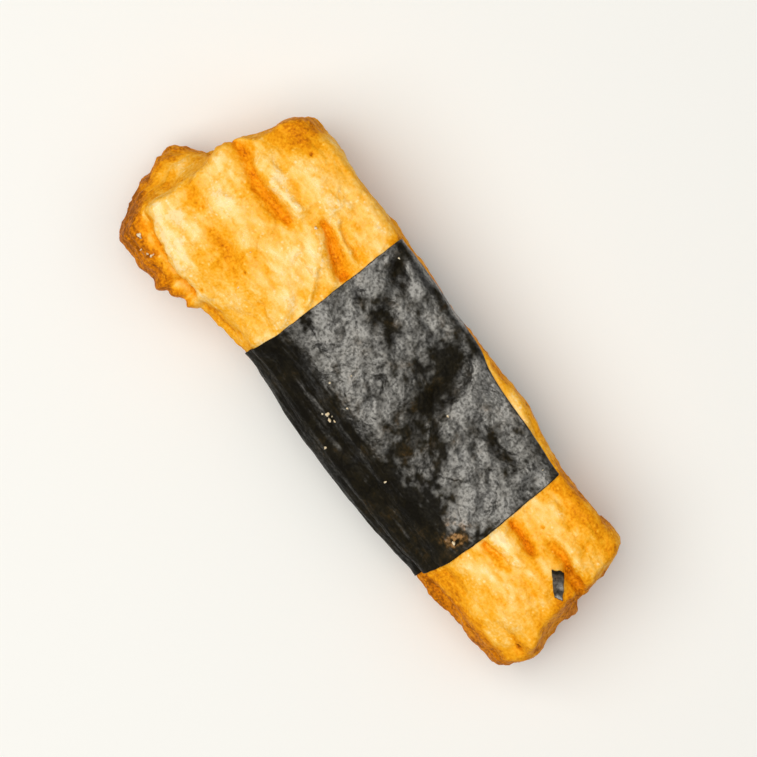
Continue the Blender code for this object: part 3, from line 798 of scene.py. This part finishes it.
def makeCrust(form=stick):
    places = ringPlaces()
    shares = np.tile(np.arange(form["around"]) / form["around"], (len(places), 1))
    smooth, out, girth = sections(places, shares)
    inside = insideWrap(smooth, shares, girth)
    flute = fluteDepth(smooth, shares)
    relief = bareDepth(smooth, shares, inside)
    hidden = rising(nori["hollowUnder"], inside)
    rings = slanted(smooth - (flute + relief + hidden)[..., None] * out)
    hollow = form["fluteHollow"] * flute + form["foldHollow"] * (relief + form["hollowShift"])
    hollow = np.clip(hollow, form["hollowLowest"], 1)
    # the end faces, hollow only near their rims
    wideCap, narrowCap = capRings(rings[0], "wide"), capRings(rings[-1], "narrow")
    ends = form["capRings"] - 1
    points = np.array([*reversed(wideCap), *rings, *narrowCap])
    inside, hollow = (np.pad(v, ((ends, ends), (0, 0)), mode="edge") for v in (inside, hollow))
    fading = np.linspace(0.0, form["capHollow"], ends)[:, None] ** 2
    hollow[:ends] *= fading
    hollow[-ends:] *= fading[::-1]
    points[..., 2] = np.maximum(points[..., 2], 0)
    stretch, shift = fitToFrame(points.reshape(-1, 3))
    height, pit, raised = skin(points, ease(*form["skinStops"], inside))
    out = gridNormals(points, True)
    # this mark holds the crust's browned tones together with painted shade and painted highlights
    brownAndPaintedLight = browningAndPaintedLight(points, hollow, raised, out[..., 2])
    glazed = ease(*form["glazed"], out[..., 2])
    points += height[..., None] * out
    points[..., 2] = np.maximum(points[..., 2], 0)
    points = points * stretch + shift
    rows, columns = points.shape[:2]
    flat = np.concatenate([points.reshape(-1, 3), points[[0, -1]].mean(axis=1)])
    faces = gridFaces(rows, columns, True)
    last = (rows - 1) * columns
    for k in range(columns):
        k2 = (k + 1) % columns
        faces.append((rows * columns, k2, k))
        faces.append((rows * columns + 1, last + k, last + k2))
    marks = {"brownAndPaintedLight": [*brownAndPaintedLight.ravel(), brownAndPaintedLight[0].mean(), brownAndPaintedLight[-1].mean()], "pit": [*pit.ravel(), 0, 0],
             "glazed": [*glazed.ravel(), 0, 0]}
    made = addMesh("bakedCrust", flat, faces, crustMaterial(), marks)
    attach(made, "root")
    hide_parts("cracker")
    print("crust:", 2 * rows * columns, "triangles")
    return BVHTree.FromPolygons(flat.tolist(), faces), stretch, shift


def wrapHeight(points, shares, form=nori):
    # crumples, then wrinkles and crinkles, over the smooth sheet: a wrinkle is where hills cross 0
    slanting = turned(points, form["crumpleTurn"])
    side = between(*form["side"], shares)
    crumpled, crinkled = 1 - form["sideCrumple"] * side, 1 - form["sideCrinkle"] * side
    wrinkle = 1 - np.clip(form["wrinkleThin"] * np.abs(hills(slanting, *form["wrinkleHills"])), 0, 1)
    large = hilly(slanting, form["crumples"]) * crumpled - foldDepth(points, shares, form)
    small = hilly(slanting, form["crinkles"]) * crinkled + hilly(points, form["sideRidges"]) * side
    return large, small - form["wrinkle"] * (wrinkle - form["wrinkleMean"]) * crumpled, wrinkle


def wornAndShadePlaces(points, shares, wrinkle, form=nori):
    # where the sheet is thin and browner, above 0, and darker below 0, where its wrinkles and -Y side are
    # darkened as painted shade
    x, y, z = np.moveaxis(points, -1, 0)
    wornAndShade = blotches(x, y, form["wornPatches"]) + hilly(points, form["wornHills"])
    for patch, how, run, lowest in form["wornBits"]:
        wornAndShade += blotches(x, y, [patch]) * patchy(points, how, run) * (z > lowest)
    return wornAndShade - rising(form["wrinkleShade"], wrinkle) - form["shadeBlack"] * shadedSide(points, shares)


def shadedSide(points, shares, form=nori):
    # 1 on the sheet's darker, streaky -Y side
    start = form["shadeStart"] + form["shadeSlope"] * points[..., 0] + hilly(points, form["shadeWander"])
    return ease(*form["shadeEdge"], shares - start) * ease(*form["shadeEnd"], shares)


def silverPlaces(points, shares, form=nori):
    # where the sheet shines, from 0 to 1
    x, y = points[..., 0], points[..., 1]
    side, valley = shadedSide(points, shares), blotch(x, y, *form["valley"])
    dull = form["valleyDull"] * valley + form["shadeDull"] * side + blotches(x, y, form["dull"])
    haze = hilly(turned(points, form["crumpleTurn"]), form["haze"]) + hilly(points, form["fineHaze"])
    haze *= (1 - form["shadeCalm"] * side) * (1 - form["valleyCalm"] * valley)
    haze += hilly(points, form["shadeStreaks"]) * side
    return np.clip(form["silver"] + rising(form["farShine"], y) - dull + haze, 0, 1)


def noriMaterial(look=nori):
    made, tree, shader, place = startMaterial("driedSeaweed")
    wornAndShade, silver = readMark(tree, "wornAndShade"), readMark(tree, "silver")
    mottle, fine = addNoise(tree, place, *look["mottle"]), addNoise(tree, place, *look["fine"])
    fleck = addCells(tree, place, look["fleckScale"])
    tone = addMath(tree, "ADD", addRange(tree, mottle, *noiseSpread, *look["mottleTone"]),
                   addRange(tree, fine, *noiseSpread, *look["fineTone"]))
    # the sheet's colour, its wear and its painted shade carried in one mark
    colour = addRamp(tree, addMath(tree, "ADD", tone, wornAndShade), look["sheet"])
    rough = addRange(tree, fine, *noiseCore, *look["roughness"])
    shining = addRange(tree, fine, *look["silverSpots"], *look["silverShare"])
    shining = addMath(tree, "MULTIPLY", silver, shining)
    grain = addGrain(tree, fine, fleck, look)
    fill(shader, {
        "Base Color": colour,
        "Roughness": rough,
        "Specular IOR Level": look["gloss"],
        "Coat Weight": shining,
        "Coat Roughness": look["silverRoughness"],
        "Coat IOR": look["silverDensity"],
        "Normal": grain,
        "Coat Normal": grain,
    })
    return made


def makeWrap(stretch, shift, material, form=nori):
    rows, columns = form["along"] + 1, form["around"] + 1
    coarse = slice(None, None, form["coarser"])
    places = np.linspace(along(form["left"], 0.0), along(form["right"], 0.0), rows)
    shares = np.linspace(along(form["start"], places), form["end"], columns, axis=1)
    smooth, out, girth = sections(places, shares)
    # its side edges bend, and wander a little
    left, right = along(form["left"], smooth[..., 1]), along(form["right"], smooth[..., 1])
    way = np.linspace(0, 1, rows)[:, None]
    smooth[..., 0] = left + (right - left) * way
    nearEnds = (1 - way) ** form["edgeSharp"] + way ** form["edgeSharp"]
    smooth[..., 0] += hilly(smooth, form["edgeWander"]) * nearEnds
    # it follows the crust at its edges, and spans the hollows further in
    inside = np.minimum(insideWrap(smooth, shares, girth), form["insideMost"])
    free = ease(*form["free"], inside)
    flute = fluteDepth(smooth, shares)
    depth = (1 - free) * (flute + bareDepth(smooth, shares, inside)) + free * form["fluteShare"] * flute
    lift = rising(form["edgeLift"], inside) * patchy(smooth, *form["liftPlaces"])
    large, small, wrinkle = wrapHeight(smooth, shares)
    large *= ease(*form["crumpled"], inside)
    small *= 1 - rising(form["edgeCalm"], inside)
    base = smooth - (depth - form["thickness"] - form["gap"] - lift - large)[..., None] * out
    up = gridNormals(base, False)
    outer = base + small[..., None] * up
    inner = base - (form["thickness"] + form["thicker"] * free)[..., None] * up
    inner = inner[coarse, coarse]
    wornAndShade, silver = wornAndShadePlaces(smooth, shares, wrinkle), silverPlaces(smooth, shares)
    points = np.concatenate([outer.reshape(-1, 3), inner.reshape(-1, 3)]) * stretch + shift
    size = rows * columns
    faces = gridFaces(rows, columns, False) + gridFaces(*inner.shape[:2], False, size, True)
    faces += rimFaces(rows, columns, form["coarser"])
    marks = {}
    for name, values in (("wornAndShade", wornAndShade), ("silver", silver)):
        marks[name] = [*values.ravel(), *values[coarse, coarse].ravel()]
    made = addMesh("seaweedWrap", points, faces, material, marks)
    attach(made, "root")
    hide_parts("nori")
    print("wrap:", 2 * size + 2 * inner.size // 3, "triangles")
    return BVHTree.FromPolygons(points.tolist(), faces)


def rimFaces(rows, columns, coarser):
    # the sheet's cut edges, which join its fine outer face to its coarser inner one
    outer = np.arange(rows * columns).reshape(rows, columns)
    inner = outer[::coarser, ::coarser]
    inner = outer.size + np.arange(inner.size).reshape(inner.shape)
    faces = []
    for outerEdges, innerEdges in ((outer, inner), (outer.T[::-1], inner.T[::-1])):
        for k in range(innerEdges.shape[1] - 1):
            run = slice(k * coarser, (k + 1) * coarser + 1)
            faces.append((*outerEdges[0, run][::-1], innerEdges[0, k], innerEdges[0, k + 1]))
            faces.append((*outerEdges[-1, run], innerEdges[-1, k + 1], innerEdges[-1, k]))
    return faces


# A torn flake of the seaweed, stuck on the narrow end: where it runs in X and Y, and its sizes.
flake = {
    "from": (18.8, 0.85),
    "to": (20.5, -0.45),
    "rows": 40,
    "columns": 16,
    "width": 0.9,
    "narrower": 0.35,
    "skew": 0.25,
    "thickness": 0.06,
    "above": 0.08,
    "lift": 0.14,
    "tilt": 0.1,
    "ragged": 0.12,
    "raggedNoise": (4, 2.5, 6.1),  # how fast it changes along and across the flake, and a seed
    "wave": 0.05,
    "waveNoise": (5, 3, 1.3),
    "smoothing": 24,
    "wornAndShade": 0.25,
    # its lifted end is painted black as the shadow under it
    "shadowedEnd": (0.5, 0.2, 0.0),
    "silver": (0.95, 0.1, 0.3),
    "grain": 0.05,
}


def onSurface(tree, x, y):
    # height of the crust or the wrap under a place, or 0 off its edge
    found = tree.ray_cast(Vector((x, y, 40)), Vector((0, 0, -1)))[0]
    return found.z if found else 0


def makeFlake(surface, stretch, shift, material, form=flake):
    first, last = Vector(form["from"]), Vector(form["to"])
    ahead = (last - first).normalized()
    ends = [onSurface(surface, *(np.array(end) * stretch[:2] + shift[:2])) for end in (first, last)]
    rows, columns = form["rows"], form["columns"]
    points = np.zeros((2, rows, columns, 3))
    for i in range(rows):
        for k in range(columns):
            way, across = i / (rows - 1), k / (columns - 1) - 0.5
            seen = Vector((way, across, 1))
            edge = form["ragged"] * noise.noise(seen * Vector(form["raggedNoise"]))
            wide = form["width"] * (1 - form["narrower"] * way * way) + edge
            place = first.lerp(last, way) + ahead * (edge + form["skew"] * across)
            place += ahead.orthogonal() * across * wide
            x, y = place.x * stretch[0] + shift[0], place.y * stretch[1] + shift[1]
            flat = ends[0] + (ends[1] - ends[0]) * way + form["lift"] * (1 - way)
            flat += form["tilt"] * (across + 0.5)
            flat += form["wave"] * noise.noise(seen * Vector(form["waveNoise"]))
            z = max(flat, onSurface(surface, x, y) + form["above"])
            points[0, i, k] = x, y, z + form["thickness"]
            points[1, i, k] = x, y, z
    points[..., 2] = smoothed(points[..., 2], form["smoothing"])
    size = rows * columns
    faces = gridFaces(rows, columns, False) + gridFaces(rows, columns, False, size, True)
    corners = np.arange(size).reshape(rows, columns)
    rim = [*corners[0, :-1], *corners[:-1, -1], *corners[-1, :0:-1], *corners[:0:-1, 0]]
    for a, b in zip(rim, rim[1:] + rim[:1]):
        faces.append((b, a, a + size, b + size))
    way = np.tile(np.repeat(np.linspace(0, 1, rows), columns), 2)
    # the lifted end darkened as painted shadow
    marks = {"wornAndShade": form["wornAndShade"] - rising(form["shadowedEnd"], way), "silver": rising(form["silver"], way)}
    made = addMesh("noriFlake", points.reshape(-1, 3), faces, material, marks)
    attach(made, "root")
    print("flake on the narrow end")


def smoothed(heights, times):
    # takes the crust's fine grain out of what lies on it
    for _ in range(times):
        padded = np.pad(heights, ((0, 0), (1, 1), (1, 1)), mode="edge")
        above, below = padded[:, :-2, 1:-1], padded[:, 2:, 1:-1]
        heights = (above + below + padded[:, 1:-1, :-2] + padded[:, 1:-1, 2:]) / 4
    return heights


# Crumbs of crust that stick to the wrap, and a few to the crust.
crumbs = {
    # X, Y and size of the ones in known places, then how many others, and between what
    "placed": ((-0.9, -5.2, 0.28), (-0.5, -5.35, 0.2), (-0.6, -5.0, 0.16), (-1.2, -5.45, 0.14),
               (-0.2, -5.1, 0.13), (5.7, -5.0, 0.24), (0.9, -6.9, 0.22), (12.4, -3.9, 0.2),
               (-18.4, -7.9, 0.3), (-18.7, -8.1, 0.18), (-20.2, -7.7, 0.3), (-19.3, -8.3, 0.2),
               (-12.2, 2.9, 0.22)),
    "scattered": 8,
    "between": ((-20, 21), (-7, 6.5), (0.1, 0.16)),
    "seed": 8,
    "standing": 0.25,
    "sides": 9,
    "rings": 6,
    "flatness": 0.7,
    "oval": (0.5, 2.1),  # how far, and how unlike each other
    "rough": (1.3, 1.5, 3.7),  # how far, how finely, and how unlike each other
    "tones": ((0.3, (224, 198, 152)), (0.7, (245, 236, 214))),
    "mottle": (6.0, 3.0),
    "roughness": (0.35, 0.6),
}


def crumbMaterial(look=crumbs):
    made, tree, shader, place = startMaterial("paleRiceCrumb")
    mottle = addNoise(tree, place, *look["mottle"])
    fill(shader, {
        "Base Color": addRamp(tree, mottle, look["tones"]),
        "Roughness": addRange(tree, mottle, *noiseSpread, *look["roughness"]),
    })
    return made


def makeCrumbs(surfaces, stretch, shift, material, form=crumbs):
    chance = np.random.default_rng(form["seed"])
    places = [*form["placed"]]
    for _ in range(form["scattered"]):
        places.append([chance.uniform(*run) for run in form["between"]])
    sides, rings = form["sides"], form["rings"]
    oval, ovalUnlike = form["oval"]
    rough, finely, unlike = form["rough"]
    points, faces = [], []
    for number, (x, y, size) in enumerate(places):
        x, y = x * stretch[0] + shift[0], y * stretch[1] + shift[1]
        height = max(onSurface(tree, x, y) for tree in surfaces)
        if height == 0:
            continue
        middle = Vector((x, y, height + form["standing"] * size))
        start = len(points)
        for i in range(rings + 1):
            for k in range(sides):
                up, turn = math.pi * i / rings, 2 * math.pi * k / sides
                way = Vector((math.sin(up) * math.cos(turn), math.sin(up) * math.sin(turn), math.cos(up)))
                way.z *= form["flatness"]
                way.x *= 1 + oval * math.sin(number * ovalUnlike)
                swollen = 1 + rough * noise.noise(way * finely + Vector((number * unlike, 0, 0)))
                points.append(middle + way * 0.5 * size * swollen)
        for i in range(rings):
            for k in range(sides):
                a, b = start + i * sides + k, start + i * sides + (k + 1) % sides
                faces.append((a, a + sides, b + sides, b))
    made = addMesh("looseCrumbs", points, faces, material)
    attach(made, "root")
    print("crumbs:", len(places))


crustSurface, stretch, shift = makeCrust()
wrapSurface = makeWrap(stretch, shift, noriMaterial())
makeFlake(crustSurface, stretch, shift, noriMaterial({**nori, "grain": flake["grain"]}))
makeCrumbs((crustSurface, wrapSurface), stretch, shift, crumbMaterial())

# A plain pale floor, soft studio light, and a camera straight above.
studio = {
    "floorSize": 6.0,
    "floorColour": (240, 242, 244),
    "floorRoughness": 0.7,
    # the way to each lamp, then its distance, size, tone and power
    "lights": {
        "keyLight": ((-0.54, -0.67, 2.3), 0.36, 0.35, (1.0, 0.955, 0.86), 1.17),
        "topLight": ((0.5, 0.62, 2.3), 0.5, 0.5, (1.0, 0.965, 0.88), 0.75),
    },
    "world": 0.22,
    "lens": 180,
    "nearClip": 0.01,
    "frameWidth": 57,
    "roll": 51,
}


def makeStudio(look=studio):
    low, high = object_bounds()
    centre = (low + high) / 2
    half = look["floorSize"] / 2
    mesh = bpy.data.meshes.new("floor")
    corners = [(-half, -half, 0), (half, -half, 0), (half, half, 0), (-half, half, 0)]
    mesh.from_pydata(corners, [], [(0, 1, 2, 3)])
    paint = bpy.data.materials.new("paleFloor")
    paint.use_nodes = True
    plain = {"Base Color": linear(look["floorColour"]), "Roughness": look["floorRoughness"]}
    fill(paint.node_tree.nodes["Principled BSDF"], plain)
    mesh.materials.append(paint)
    floor = addObject("floor", mesh)

    for name, (way, distance, size, tone, power) in look["lights"].items():
        lamp = bpy.data.lights.new(name, "AREA")
        lamp.shape = "SQUARE"
        lamp.size = size
        lamp.energy = power
        lamp.color = tone
        hung = addObject(name, lamp)
        direction = Vector(way).normalized()
        hung.location = centre + direction * distance
        hung.rotation_euler = direction.to_track_quat("Z", "Y").to_euler()

    world = bpy.data.worlds.new("studioLight")
    world.use_nodes = True
    even = {"Color": (1.0, 1.0, 1.0, 1.0), "Strength": look["world"]}
    fill(world.node_tree.nodes["Background"], even)
    bpy.context.scene.world = world

    lens = bpy.data.cameras.new("camera")
    lens.lens = look["lens"]
    lens.clip_start = look["nearClip"]
    camera = addObject("camera", lens)
    distance = look["frameWidth"] * mm * look["lens"] / lens.sensor_width
    camera.location = centre + Vector((0, 0, distance))
    camera.rotation_euler = (0, 0, math.radians(look["roll"]))
    bpy.context.scene.camera = camera
    bpy.context.scene.view_settings.view_transform = "Standard"
    print("studio ready")


makeStudio()
